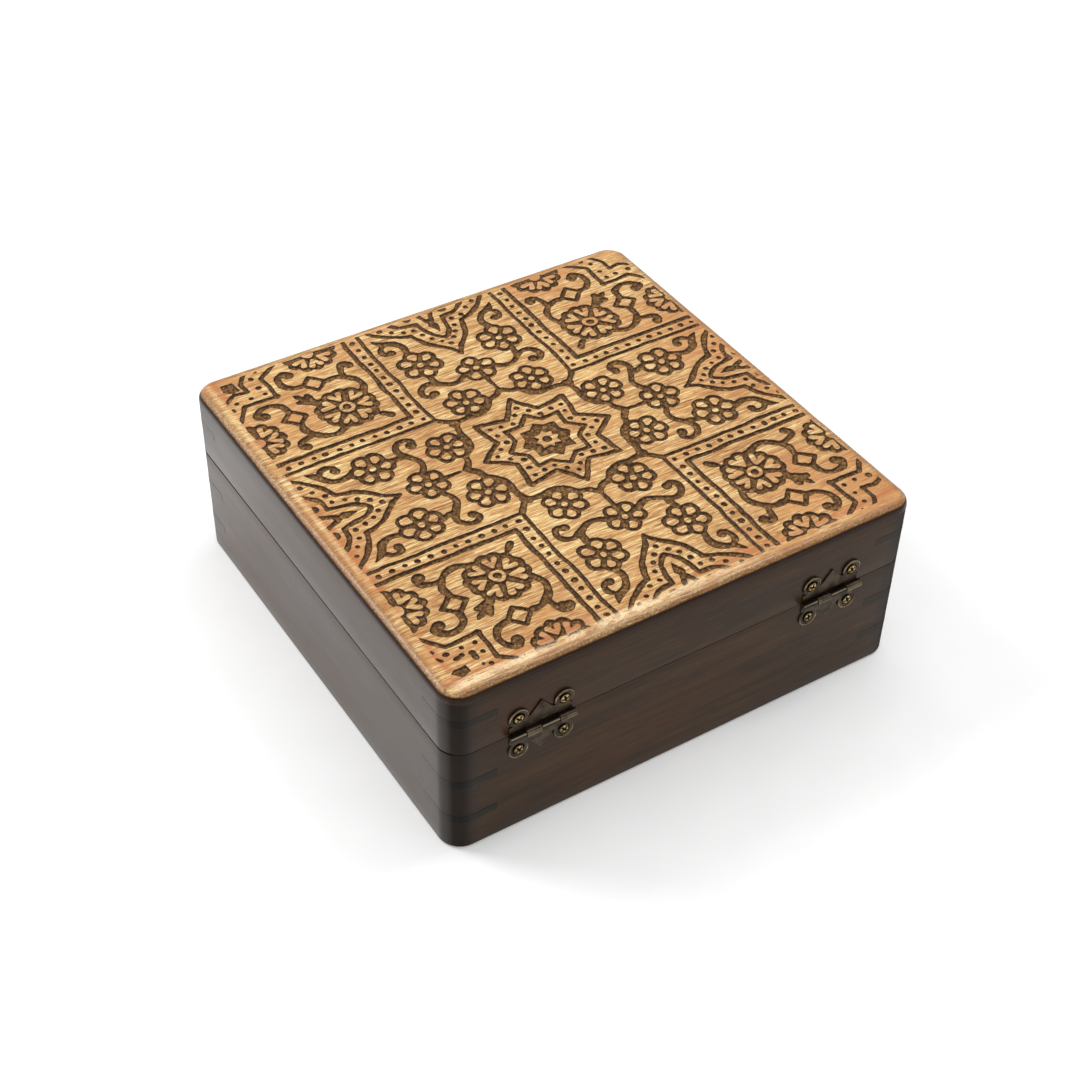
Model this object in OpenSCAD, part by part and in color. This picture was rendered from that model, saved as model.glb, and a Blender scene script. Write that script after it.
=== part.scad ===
// Square lidded wooden keepsake box with a carved top board, mitred and keyed
// corners, and two surface-mounted butterfly hinges across the back.
// The origin is the centre of the underside. The front faces -Y, the hinged
// back faces +Y, and the lid is modelled closed.

/* [Box] */
// Outside width along the hinge side
box_w = 200; // [120:1:320]
// Outside depth, front to back
box_d = 200; // [120:1:320]
// Height with the lid closed
box_h = 77; // [50:1:140]
// Height of the base walls
base_h = 48.2; // [25:0.1:100]
// Open line between the base and the lid
seam_gap = 0.4; // [0.2:0.1:1]
// Thickness of every wall
wall_t = 10; // [6:0.5:14]
// Radius on the four upright corners
corner_r = 9; // [3:0.5:12]

/* [Boards] */
// Thickness of the carved top board
top_t = 4; // [3:0.5:8]
// Radius that rounds over the top board's edge
top_round_r = 3.8; // [1:0.1:4]
// Thickness of the bottom board
bottom_t = 4; // [3:0.5:8]
// How far the bottom board is let into the walls
rebate = 5; // [2:0.5:7]
// Slack around the bottom board in its rebate
bottom_slack = 0.2; // [0:0.1:0.5]

/* [Corner keys] */
// Thickness of a key, top to bottom
key_t = 3.2; // [2:0.1:5]
// How far a key shows along each face from the corner
key_reach = 18.8; // [10:0.1:20]
// Mid-height of the lower key in the base
key_low_z = 15.2; // [6:0.1:40]
// Mid-height of the upper key in the base
key_high_z = 33.2; // [10:0.1:45]
// Mid-height of the key in the lid
key_lid_z = 63.4; // [50:0.1:75]

/* [Hinges] */
// Distance of each hinge from the middle of the back
hinge_x = 63; // [30:1:85]
// Sideways offset of both hinges
hinge_shift = 0.9; // [-3:0.1:3]
// Length of the hinge barrel
hinge_len = 26.7; // [18:0.1:50]
// Thickness of a leaf
leaf_t = 0.6; // [0.5:0.1:1.5]
// Radius of the barrel
barrel_r = 1.5; // [1.2:0.1:3.5]
// Distance of the pin's axis behind the back face
axis_out = 1.75; // [1.5:0.05:4]
// Radius of the hinge pin
pin_r = 0.7; // [0.5:0.05:1.5]
// Radial running clearance of the lid knuckles on the pin
pin_fit = 0.05; // [0.01:0.01:0.1]
// End gap between neighbouring knuckles
knuckle_gap = 0.2; // [0.1:0.05:0.5]
// Radius of the round screw lobes
lobe_r = 4; // [3:0.1:6]
// Distance of a lobe's centre from the hinge's middle
lobe_x = 9.2; // [6:0.1:16]
// Distance of a lobe's centre from the axis
lobe_z = 7.6; // [6:0.1:14]
// Height of the raised rim around a lobe
rim_t = 0.3; // [0.2:0.1:1]
// Width of the raised rim
rim_w = 0.5; // [0.4:0.1:1.5]
// Distance of the leaf's pointed tip from the axis
peak_z = 11.6; // [8:0.1:20]

/* [Screws] */
// Radius of the screw shank
screw_r = 1.25; // [0.8:0.05:2]
// Radius of the countersunk head
head_r = 2.15; // [1.5:0.05:3]
// Radius of the raised part of the head
dome_r = 1.8; // [1.2:0.05:2.5]
// Height of the raised part of the head
dome_h = 0.7; // [0.3:0.05:1]
// Length of a screw below its head
screw_len = 8; // [5:0.5:9]

/* [Carving] */
// Depth of the carved grooves
carve_d = 0.9; // [0.4:0.1:1.5]
// Width of the main grooves
groove_w = 2.1; // [1:0.1:3]
// Sideways offset of the pattern on the board
carve_x = -1.9; // [-4:0.1:4]
// Half the size of the carved field
field_r = 94; // [90:0.5:95]
// Distance of the outer panel line from the pattern's middle
panel_out = 31.4; // [29:0.1:33]
// Distance of the inner panel line from the pattern's middle
panel_in = 38; // [36:0.1:40]
// Pitch of the carved dots
dot_pitch = 5.1; // [3:0.1:7]
// Radius of a carved dot
dot_r = 1.1; // [0.5:0.1:1.5]
// Tip radius of the outer eight-pointed star
star_r = 28; // [22:0.5:30]
// Tip radius of the inner star line
star_in_r = 17; // [14:0.5:19]
// Tip radius of the sunk star in the middle
star_mid_r = 10.8; // [8:0.1:12]
// Radius of the round flower in each corner panel
rosette_r = 12.2; // [8:0.1:13]
// Radius of the small flowers
flower_r = 9; // [6:0.1:10]

/* [Hidden] */
$fn = 64;
round_fn = 96;
cut = 1;                               // how far a cutter passes through
half_w = box_w / 2;
half_d = box_d / 2;
seam_z = base_h + seam_gap / 2;        // height of the hinge axis
lid_z = base_h + seam_gap;
top_z = box_h - top_t;
axis_y = half_d + axis_out;
slot_in = wall_t - rebate;
leaf_w = hinge_len - 1.2;
strip_z = 4.2;                         // where the leaf's straight strip ends
strip_start = 0.3;
notch_r = barrel_r + 0.25;             // room for the other leaf's knuckles
valley = [4.2, 6.6];                   // low point between a lobe and the tip
knuckles = [6.2, 5.9, 7.2, 6.8];       // widths from the +X end
head_t = 0.7;
head_sink = 0.1;
cross_w = 0.45;
cross_l = 2.6;
cross_t = 0.5;
dome_ball = (dome_r * dome_r + dome_h * dome_h) / (2 * dome_h);
star_dip = 0.68;                       // valley radius as a share of the tips'
star_in_dip = 0.75;
fine_w = groove_w * 0.85;              // width of the lighter lines
corners = [[-1, -1], [1, -1], [1, 1], [-1, 1]];

base_wood = [0.24, 0.18, 0.14];
key_wood = [0.20, 0.19, 0.16];
top_wood = [0.80, 0.58, 0.32];
bronze = [0.22, 0.19, 0.15];
screw_metal = [0.62, 0.50, 0.28];

// ---- walls ---------------------------------------------------------------

// takes the square corner off outside the upright round; s picks the corner
module corner_waste(s, z0, h)
  translate([s[0] * (half_w - corner_r), s[1] * (half_d - corner_r), z0 - cut])
    difference() {
      translate([s[0] > 0 ? 0 : -corner_r - cut, s[1] > 0 ? 0 : -corner_r - cut, 0])
        cube([corner_r + cut, corner_r + cut, h + 2 * cut]);
      translate([0, 0, -cut]) cylinder(r = corner_r, h = h + 4 * cut, $fn = round_fn);
    }

// one triangular key that bridges a mitred corner
module key_blank(s, z)
  translate([s[0] * half_w, s[1] * half_d, z - key_t / 2])
    linear_extrude(key_t)
      polygon([[0, 0], [-s[0] * key_reach, 0], [0, -s[1] * key_reach]]);

module key(s, z)
  difference() {
    key_blank(s, z);
    corner_waste(s, z - key_t, 2 * key_t);
  }

// a mitred length of wall along the front or back; side is -1 or 1
module wall_x(side, z0, h, keys)
  difference() {
    translate([0, 0, z0]) linear_extrude(h)
      polygon([[-half_w, side * half_d], [half_w, side * half_d],
               [half_w - wall_t, side * (half_d - wall_t)],
               [-half_w + wall_t, side * (half_d - wall_t)]]);
    for (e = [-1, 1]) {
      corner_waste([e, side], z0, h);
      for (z = keys) key_blank([e, side], z);
    }
  }

// a mitred length of wall along the left or right; side is -1 or 1
module wall_y(side, z0, h, keys)
  difference() {
    translate([0, 0, z0]) linear_extrude(h)
      polygon([[side * half_w, -half_d], [side * half_w, half_d],
               [side * (half_w - wall_t), half_d - wall_t],
               [side * (half_w - wall_t), -half_d + wall_t]]);
    for (e = [-1, 1]) {
      corner_waste([side, e], z0, h);
      for (z = keys) key_blank([side, e], z);
    }
  }

module bottom_rebate()
  translate([-half_w + slot_in, -half_d + slot_in, -cut])
    cube([box_w - 2 * slot_in, box_d - 2 * slot_in, bottom_t + cut]);

base_key_z = [key_low_z, key_high_z];

module base_front_wall() color(base_wood)
  difference() { wall_x(-1, 0, base_h, base_key_z); bottom_rebate(); }

module base_back_wall() color(base_wood)
  difference() {
    wall_x(1, 0, base_h, base_key_z);
    bottom_rebate();
    for (h = [-1, 1]) screw_shanks(h, -1);
  }

module base_left_wall() color(base_wood)
  difference() { wall_y(-1, 0, base_h, base_key_z); bottom_rebate(); }

module base_right_wall() color(base_wood)
  difference() { wall_y(1, 0, base_h, base_key_z); bottom_rebate(); }

module base_bottom_board() color(base_wood)
  translate([-half_w + slot_in + bottom_slack, -half_d + slot_in + bottom_slack, 0])
    cube([box_w - 2 * (slot_in + bottom_slack), box_d - 2 * (slot_in + bottom_slack), bottom_t]);

module base_keys(s) color(key_wood) for (z = base_key_z) key(s, z);
module base_keys_front_left() base_keys(corners[0]);
module base_keys_front_right() base_keys(corners[1]);
module base_keys_back_right() base_keys(corners[2]);
module base_keys_back_left() base_keys(corners[3]);

module lid_front_wall() color(base_wood) wall_x(-1, lid_z, top_z - lid_z, [key_lid_z]);
module lid_back_wall() color(base_wood)
  difference() {
    wall_x(1, lid_z, top_z - lid_z, [key_lid_z]);
    for (h = [-1, 1]) screw_shanks(h, 1);
  }
module lid_left_wall() color(base_wood) wall_y(-1, lid_z, top_z - lid_z, [key_lid_z]);
module lid_right_wall() color(base_wood) wall_y(1, lid_z, top_z - lid_z, [key_lid_z]);

module lid_key_front_left() color(key_wood) key(corners[0], key_lid_z);
module lid_key_front_right() color(key_wood) key(corners[1], key_lid_z);
module lid_key_back_right() color(key_wood) key(corners[2], key_lid_z);
module lid_key_back_left() color(key_wood) key(corners[3], key_lid_z);

// ---- carved top board ------------------------------------------------------

// half the cross-section of a board of half width w, rounded on its top edge
module edge_profile(w) {
  square([w - top_round_r, top_t]);
  square([w, top_t - top_round_r]);
  translate([w - top_round_r, top_t - top_round_r]) intersection() {
    circle(r = top_round_r);
    square(top_round_r);
  }
}

module board_blank()
  translate([0, 0, top_z]) {
    for (e = [-1, 1]) {
      translate([-(half_w - corner_r), 0, 0]) rotate([90, 0, 90])
        linear_extrude(box_w - 2 * corner_r)
          mirror([e > 0 ? 0 : 1, 0]) edge_profile(half_d);
      translate([0, half_d - corner_r, 0]) rotate([90, 0, 0])
        linear_extrude(box_d - 2 * corner_r)
          mirror([e > 0 ? 0 : 1, 0]) edge_profile(half_w);
    }
    for (s = corners)
      translate([s[0] * (half_w - corner_r), s[1] * (half_d - corner_r), 0])
        rotate_extrude($fn = round_fn) edge_profile(corner_r);
  }

// a groove of width w through a list of points
module stroke(pts, w)
  for (i = [0 : len(pts) - 2]) {
    d = pts[i + 1] - pts[i];
    translate(pts[i]) rotate(atan2(d[1], d[0])) translate([0, -w / 2]) square([norm(d), w]);
    if (i > 0) translate(pts[i]) circle(d = w, $fn = 12);
  }

// dots in a row from a to b at about the given pitch
module dots(a, b, pitch) {
  n = max(1, round(norm(b - a) / pitch));
  for (i = [0 : n]) translate(a + (b - a) * i / n) circle(r = dot_r, $fn = 8);
}

module dots_at(pts) for (p = pts) translate(p) circle(r = dot_r, $fn = 8);

// a child and its mirror image across the Y axis
module both() { children(); mirror([1, 0]) children(); }

// a child and its mirror image across the diagonal
module diagonal() { children(); mirror([1, -1]) children(); }

function star_points(r, dip) =
  [for (i = [0 : 15]) (i % 2 == 0 ? r : r * dip) * [cos(i * 22.5), sin(i * 22.5)]];

module star_line(r, dip, w) difference() {
  polygon(star_points(r + w / 2, dip));
  polygon(star_points(r - w / 2, dip));
}

// a sunk disc with raised petals round a raised ring and a sunk dot
module flower(r, petals) {
  difference() {
    circle(r = r, $fn = 24);
    for (i = [0 : petals - 1]) rotate(i * 360 / petals + 15) translate([r * 0.64, 0])
      circle(r = r * 0.27, $fn = 12);
    circle(r = r * 0.31, $fn = 12);
  }
  circle(r = r * 0.14, $fn = 12);
}

// the beaded line around a corner panel, and the scrolls inside it
module corner_panel() {
  for (p = [panel_out, panel_in]) stroke([[field_r, p], [p, p], [p, field_r]], groove_w);
  m = (panel_out + panel_in) / 2;
  dots([m, m], [field_r - 2, m], dot_pitch);
  dots([m, m + dot_pitch], [m, field_r - 2], dot_pitch);
  stroke([[panel_out, panel_out], [26, 25.5]], groove_w);
  translate([56, 56]) flower(rosette_r, 6);
  stroke([[43.5, 43.5], [47.5, 47.5]], groove_w);
  stroke([[64, 64], [71.5, 71.5]], fine_w);
  diagonal() {
    stroke([[63, 46], [67, 43.5], [71, 44.5], [74, 47.5], [80.5, 46], [82, 43.5], [80, 41.5]], fine_w);
    stroke([[74, 47.5], [75.5, 55], [71.5, 61], [76.5, 64], [78, 69], [81.5, 71.5], [86, 71],
            [88.5, 68], [86.5, 65.5], [84.5, 67]], fine_w);
    stroke([[field_r, 70], [90, 76], [76, 76]], groove_w);
    stroke([[field_r, 82], [91, 84.6], [84.5, 84.6]], fine_w);
    dots_at([[85, 80], [90.5, 80]]);
  }
  dots_at([[80, 80]]);
}

// the pointed arch at the middle of an edge with its flowers and scrolls;
// it opens towards +Y
module edge_arm() {
  both() {
    stroke([[27, field_r], [20, 88], [15, 85], [11.5, 81.5], [9.3, 76], [5, 71.5], [0, 65]], groove_w);
    stroke([[16.5, field_r], [12, 90.5], [6, 90.3], [5, 85], [3.5, 80], [0, 76.8]], fine_w);
    dots_at([[3.2, 75], [6, 78.5], [7.9, 82.7], [9.2, 87.4], [14, 88], [18, 91]]);
    stroke([[26, 25.5], [20, 26.5], [12, 28.5], [7, 32], [0, 35.5]], groove_w);
    translate([14.7, 35.8]) flower(flower_r * 0.72, 6);
    translate([18, 65]) flower(flower_r, 6);
    stroke([[8.5, 49.5], [13, 48], [18, 51], [22.5, 53.3], [26.5, 50.5], [27, 46.5], [24.5, 44.6], [22, 47]], fine_w);
    stroke([[18.5, 52], [19.3, 57]], fine_w);
    stroke([[19.5, 74], [18.5, 79], [20.5, 83], [25, 85.5], [27, 88.5]], fine_w);
    stroke([[0, 82], [2, 88], [0, 91]], fine_w);
  }
  dots_at([[0, 72]]);
  stroke([[0, 35.5], [0, 45]], groove_w);
  translate([0, 52.5]) flower(flower_r * 0.9, 5);
}

module carving() {
  star_line(star_r, star_dip, groove_w);
  star_line(star_in_r, star_in_dip, groove_w);
  for (i = [0 : 15]) {
    rotate(i * 22.5) translate([i % 2 == 0 ? 22 : 15.9, 0]) circle(r = dot_r, $fn = 8);
    rotate(i * 22.5 + 11.25) translate([18.6, 0]) circle(r = dot_r, $fn = 8);
  }
  difference() {
    polygon(star_points(star_mid_r, star_in_dip));
    circle(r = star_mid_r * 0.4, $fn = 16);
  }
  circle(r = star_mid_r * 0.17, $fn = 12);
  for (a = [0 : 90 : 270]) rotate(a) { corner_panel(); edge_arm(); }
}

module lid_top_board() color(top_wood)
  difference() {
    board_blank();
    translate([carve_x, 0, box_h - carve_d]) linear_extrude(carve_d + cut) carving();
  }

// ---- hinges ----------------------------------------------------------------

// side is -1 for the left hinge and 1 for the right one;
// up is 1 for the leaf on the lid and -1 for the leaf on the base
module at_axis(side) translate([side * hinge_x + hinge_shift, axis_y, seam_z]) children();

// x of a knuckle's +X end, counted from the barrel's +X end
function knuckle_start(i) =
  hinge_len / 2 - (i == 0 ? 0 : [for (k = 0, s = 0; k <= i; s = s + knuckles[k] + knuckle_gap, k = k + 1) s][i]);

module along_x(i, r, grow)
  translate([knuckle_start(i) - knuckles[i] - grow, 0, 0]) rotate([0, 90, 0])
    cylinder(r = r, h = knuckles[i] + 2 * grow);

module leaf_outline() {
  translate([-leaf_w / 2, strip_start]) square([leaf_w, strip_z - strip_start]);
  for (e = [-1, 1]) translate([e * lobe_x, lobe_z]) circle(r = lobe_r);
  polygon([[-lobe_x, strip_z - 0.5], [-valley[0] - 1, valley[1]], [-valley[0], valley[1]], [0, peak_z],
           [valley[0], valley[1]], [valley[0] + 1, valley[1]], [lobe_x, strip_z - 0.5]]);
}

// a leaf for the lid side; own lists its knuckles and other the opposite ones
module leaf(own, other, bore_r)
  difference() {
    union() {
      translate([0, leaf_t - axis_out, 0]) rotate([90, 0, 0]) linear_extrude(leaf_t) leaf_outline();
      for (e = [-1, 1]) translate([e * lobe_x, leaf_t - axis_out, lobe_z]) rotate([-90, 0, 0])
        difference() {
          translate([0, 0, -leaf_t / 2]) cylinder(r = lobe_r, h = rim_t + leaf_t / 2);
          translate([0, 0, -leaf_t]) cylinder(r = lobe_r - rim_w, h = rim_t + leaf_t + cut);
        }
      for (i = own) {
        along_x(i, barrel_r, 0);
        translate([knuckle_start(i) - knuckles[i], -axis_out, 0]) cube([knuckles[i], leaf_t, strip_start + 1]);
      }
    }
    for (i = own) along_x(i, bore_r, cut / 10);
    for (i = other) along_x(i, notch_r, knuckle_gap);
    for (e = [-1, 1]) translate([e * lobe_x, 0, lobe_z]) screw_solid();
  }

// the sunk part of a screw, pointing into the wall along -Y
module screw_solid()
  translate([0, leaf_t - axis_out - head_sink, 0]) rotate([90, 0, 0]) {
    translate([0, 0, -cut]) cylinder(r = head_r, h = cut);
    cylinder(r1 = head_r, r2 = screw_r, h = head_t);
    cylinder(r = screw_r, h = screw_len);
  }

// a whole screw: countersunk below, a low dome with a cross slot above
module screw()
  translate([0, leaf_t - axis_out - head_sink, 0]) difference() {
    union() {
      rotate([90, 0, 0]) {
        cylinder(r1 = head_r, r2 = screw_r, h = head_t);
        cylinder(r = screw_r, h = screw_len);
      }
      rotate([-90, 0, 0]) intersection() {
        translate([0, 0, dome_h - dome_ball]) sphere(r = dome_ball);
        cylinder(r = dome_r, h = dome_h + cut);
      }
    }
    translate([0, dome_h, 0]) for (a = [0, 90]) rotate([0, a + 20, 0])
      cube([cross_l, 2 * cross_t, cross_w], center = true);
  }

module screw_pair(side, up) at_axis(side)
  for (e = [-1, 1]) translate([e * lobe_x, 0, up * lobe_z]) screw();

module screw_shanks(side, up) at_axis(side)
  for (e = [-1, 1]) translate([e * lobe_x, 0, up * lobe_z]) screw_solid();

module base_leaf(side) color(bronze) at_axis(side)
  mirror([0, 0, 1]) leaf([0, 2], [1, 3], pin_r);
module lid_leaf(side) color(bronze) at_axis(side) leaf([1, 3], [0, 2], pin_r + pin_fit);
module hinge_pin(side) color(bronze) at_axis(side)
  translate([-hinge_len / 2 - 0.2, 0, 0]) rotate([0, 90, 0]) cylinder(r = pin_r, h = hinge_len + 0.4);

module hinge_left_base_leaf() base_leaf(-1);
module hinge_left_lid_leaf() lid_leaf(-1);
module hinge_left_pin() hinge_pin(-1);
module hinge_left_base_screws() color(screw_metal) screw_pair(-1, -1);
module hinge_left_lid_screws() color(screw_metal) screw_pair(-1, 1);
module hinge_right_base_leaf() base_leaf(1);
module hinge_right_lid_leaf() lid_leaf(1);
module hinge_right_pin() hinge_pin(1);
module hinge_right_base_screws() color(screw_metal) screw_pair(1, -1);
module hinge_right_lid_screws() color(screw_metal) screw_pair(1, 1);

base_front_wall();
base_back_wall();
base_left_wall();
base_right_wall();
base_bottom_board();
base_keys_front_left();
base_keys_front_right();
base_keys_back_left();
base_keys_back_right();
lid_front_wall();
lid_back_wall();
lid_left_wall();
lid_right_wall();
lid_top_board();
lid_key_front_left();
lid_key_front_right();
lid_key_back_left();
lid_key_back_right();
hinge_left_base_leaf();
hinge_left_lid_leaf();
hinge_left_pin();
hinge_left_base_screws();
hinge_left_lid_screws();
hinge_right_base_leaf();
hinge_right_lid_leaf();
hinge_right_pin();
hinge_right_base_screws();
hinge_right_lid_screws();
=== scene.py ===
"""Carved-top wooden keepsake box with butterfly hinges, in metres, in the CAD frame."""

import math
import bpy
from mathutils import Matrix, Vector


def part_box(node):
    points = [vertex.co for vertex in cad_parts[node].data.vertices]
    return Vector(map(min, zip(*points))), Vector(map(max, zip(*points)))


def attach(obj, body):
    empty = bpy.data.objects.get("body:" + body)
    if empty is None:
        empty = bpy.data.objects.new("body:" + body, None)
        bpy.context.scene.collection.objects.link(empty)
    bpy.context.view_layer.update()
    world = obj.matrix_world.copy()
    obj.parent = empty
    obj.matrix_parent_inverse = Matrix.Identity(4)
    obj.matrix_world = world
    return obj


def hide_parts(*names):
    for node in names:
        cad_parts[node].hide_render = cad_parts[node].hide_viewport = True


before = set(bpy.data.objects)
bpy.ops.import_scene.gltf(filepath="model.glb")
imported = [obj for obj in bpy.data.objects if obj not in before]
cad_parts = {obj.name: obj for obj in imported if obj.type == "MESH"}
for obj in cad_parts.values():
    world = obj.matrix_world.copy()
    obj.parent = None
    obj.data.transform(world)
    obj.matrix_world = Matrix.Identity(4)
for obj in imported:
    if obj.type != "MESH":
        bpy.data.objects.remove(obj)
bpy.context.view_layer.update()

from types import SimpleNamespace

import bmesh
import bpy
import numpy as np
from mathutils import Matrix, Vector, geometry, noise

MM = 0.001
rng = np.random.default_rng(11)

# -------- sizes, mm
board_low, board_high = (np.array(c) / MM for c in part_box("lid_top_board"))
base_low, base_high = (np.array(c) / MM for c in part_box("base_right_wall"))
lid_low, lid_high = (np.array(c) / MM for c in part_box("lid_right_wall"))
HALF = board_high[0]
TOP_Z = board_high[2]
BOARD_Z = board_low[2]
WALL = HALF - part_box("base_right_wall")[0][0] / MM
HEIGHTS = {"base": (base_low[2], base_high[2]), "lid": (lid_low[2], lid_high[2])}
CORNER_R = 9.0
EDGE_R = 3.8
BACK_SEAM = 0.2  # how much of the seam the lid closes by settling on the back wall
SKIN = 0.05  # the walls' faces lie this far inside the CAD's, and swell by as much
BOTTOM_T = 4.0
REBATE_D = 5.0
KEY_T = 3.2
PATTERN_X = -1.9  # the carving sits a little to one side on the board
FIELD_LOW = (-95.6, -95.0)
FIELD_HIGH = (93.2, 93.8)

GRID = 0.25
MARGIN = 1.5
FAR = 4.0
SCROLL_GAIN = 1.1  # flowing grooves are cut a little wider than the ruled ones
CONTOURS = ((0.25, 0.62), (-0.05, 0.55), (-0.42, 0.55))  # distance from a groove's edge, spacing
SCATTER = ((4.0, 1.2, 99), (1.3, -99, -0.8))  # spacing between two distances: uncut wood, floors
DEPTH_AT = ([-0.25, 0.05, 0.42, 1.0], [0, 0.16, 0.8, 0.95])  # distance into a groove, its depth


def unit(angle):
    return np.array((math.cos(angle), math.sin(angle)))


def quarter_turn(k):
    c, s = unit(k * math.pi / 2)
    return np.array([[c, -s], [s, c]])


# -------- carving
def fbm(x, y, scale, seed):
    """Smooth value noise over arrays, about -1 to 1."""
    r = np.random.default_rng(seed)
    n = int(max(x.max() - x.min(), y.max() - y.min()) / scale) + 4
    table = r.uniform(-1, 1, (n, n))
    u = (x - x.min()) / scale
    v = (y - y.min()) / scale
    i, j = u.astype(int), v.astype(int)
    fu, fv = u - i, v - j
    fu, fv = fu * fu * (3 - 2 * fu), fv * fv * (3 - 2 * fv)
    top = table[j, i] * (1 - fu) + table[j, i + 1] * fu
    low = table[j + 1, i] * (1 - fu) + table[j + 1, i + 1] * fu
    return top * (1 - fv) + low * fv


def smooth_path(p):
    """Points on a flowing curve through p, five for each stretch."""
    q = np.vstack([2 * p[0] - p[1], p, 2 * p[-1] - p[-2]])
    steps = np.linspace(0, 1, 5, endpoint=False)
    out = [0.5 * (2 * b + (c - a) * t + (2 * a - 5 * b + 4 * c - d) * t * t
                  + (3 * b - a - 3 * c + d) * t ** 3)
           for a, b, c, d in zip(q, q[1:], q[2:], q[3:]) for t in steps]
    return np.array([*out, p[-1]])


class Relief:
    """Signed distance in mm to the carved lines: negative inside a groove."""

    def __init__(self, low, high, step, wobble=0.0, shift=(0.0, 0.0)):
        self.step = step
        self.shift = shift
        self.xs = np.arange(low[0] - MARGIN, high[0] + MARGIN, step)
        self.ys = np.arange(low[1] - MARGIN, high[1] + MARGIN, step)
        x, y = np.meshgrid(self.xs, self.ys)
        self.plain = (x, y)
        drift = [
            0.38 * fbm(x, y, 9.0, s) + 0.22 * fbm(x, y, 3.2, s + 1) + 0.12 * fbm(x, y, 1.3, s + 2)
            for s in (21, 31)
        ]
        self.x, self.y = x + wobble * drift[0], y + wobble * drift[1]
        self.s = np.full(x.shape, FAR)
        self.turn = np.eye(2)

    def place(self, points):
        return np.asarray(points, float).reshape(-1, 2) @ self.turn.T + self.shift

    def window(self, points, pad):
        """The part of the grid round the points."""
        lo, hi = points.min(0) - pad - MARGIN, points.max(0) + pad + MARGIN
        j = np.searchsorted(self.xs, (lo[0], hi[0]))
        i = np.searchsorted(self.ys, (lo[1], hi[1]))
        return slice(*i), slice(*j)

    def cut(self, w, d):
        self.s[w] = np.minimum(self.s[w], d)

    def keep(self, w, d):
        self.s[w] = np.maximum(self.s[w], -d)

    def capsules(self, points, radii, act):
        """Round-ended strokes from point to point, cut or kept."""
        for a, b, ra, rb in zip(points[:-1], points[1:], radii[:-1], radii[1:]):
            w = self.window(np.array([a, b]), max(ra, rb))
            px, py = self.x[w] - a[0], self.y[w] - a[1]
            d = b - a
            t = np.clip((px * d[0] + py * d[1]) / max(d @ d, 1e-9), 0, 1)
            act(w, np.hypot(px - t * d[0], py - t * d[1]) - (ra + t * (rb - ra)))

    def line(self, points, width, ends=(1.0, 1.0)):
        """A straight-sided groove from point to point; ends scale the width there."""
        points = self.place(points)
        radii = np.full(len(points), width / 2)
        radii[0] *= ends[0]
        radii[-1] *= ends[1]
        self.capsules(points, radii, self.cut)

    def curve(self, points, width, ends=(1.0, 1.0)):
        """A flowing groove through the points; ends scale the width there."""
        path = smooth_path(self.place(points))
        width = width * SCROLL_GAIN
        t = np.linspace(0, 1, len(path))
        swell = 1 + 0.12 * np.sin(rng.uniform(0, 6) + 9 * t)
        taper = np.interp(t, [0, 0.22, 0.78, 1], [ends[0], 1, 1, ends[1]])
        self.capsules(path, width / 2 * swell * taper, self.cut)

    def disc(self, centre, r, raised=False):
        c = self.place([centre])
        w = self.window(c, r)
        d = np.hypot(self.x[w] - c[0, 0], self.y[w] - c[0, 1]) - r
        (self.keep if raised else self.cut)(w, d)

    def polygon(self, points, raised=False):
        p = self.place(points)
        w = self.window(p, 0)
        x, y = self.x[w], self.y[w]
        d = np.full(x.shape, 1e9)
        inside = np.zeros(x.shape, bool)
        for a, b in zip(p, np.roll(p, -1, 0)):
            e = b - a
            t = np.clip(((x - a[0]) * e[0] + (y - a[1]) * e[1]) / (e @ e), 0, 1)
            d = np.minimum(d, np.hypot(x - a[0] - t * e[0], y - a[1] - t * e[1]))
            crosses = (a[1] > y) != (b[1] > y)
            at = a[0] + (y - a[1]) / (e[1] if abs(e[1]) > 1e-9 else 1e-9) * e[0]
            inside ^= crosses & (x < at)
        (self.keep if raised else self.cut)(w, np.where(inside, -d, d))

    def dots(self, points, r=1.05):
        for p in points:
            self.disc(p + rng.uniform(-0.25, 0.25, 2), r * rng.uniform(0.85, 1.15))

    def mirrored(self, mirrors, draw):
        """Draws once for each mirror of the current axes."""
        turn = self.turn
        for mirror in mirrors:
            self.turn = turn @ mirror
            draw(self)
        self.turn = turn

    def flower(self, centre, r, petals, start=0.0):
        """A sunk lobed disc with raised petals and a raised eye."""
        c = np.array(centre, float)
        spokes = [start + 2 * math.pi * k / petals + rng.uniform(-0.08, 0.08) for k in range(petals)]
        self.disc(c, r * 0.66)
        for a in spokes:
            self.disc(c + 0.585 * r * unit(a), r * 0.43)
        for a in spokes:
            inner = c + unit(a) * r * 0.47
            outer = c + unit(a) * r * rng.uniform(0.57, 0.64)
            self.capsules(self.place([inner, outer]), [r * 0.12, r * rng.uniform(0.2, 0.235)], self.keep)
        self.disc(c, r * 0.15, raised=True)

    def heart(self, centre, angle, near, far, spread, size):
        """One raised heart-shaped petal pointing away from the centre."""
        u = unit(angle)
        v = np.array((-u[1], u[0]))
        for e in (-1, 1):
            lobe = [centre + u * near, centre + u * far + v * e * spread]
            self.capsules(self.place(lobe), [size * 0.55, size], self.keep)

    def rosette(self, centre, r, petals, start):
        """The large flower: heart-shaped petals round a raised ring and sunk dot."""
        c = np.array(centre, float)
        self.disc(c, r * 0.8)
        for k in range(2 * petals):
            self.disc(c + r * 0.76 * unit(start + math.pi * (k + 0.5) / petals), r * 0.27)
        for k in range(petals):
            a = start + 2 * math.pi * k / petals + rng.uniform(-0.06, 0.06)
            self.heart(c, a, r * 0.4, r * rng.uniform(0.69, 0.75), r * 0.15, r * rng.uniform(0.095, 0.115))
        self.disc(c, 3.2, raised=True)
        self.disc(c, 1.7)


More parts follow.
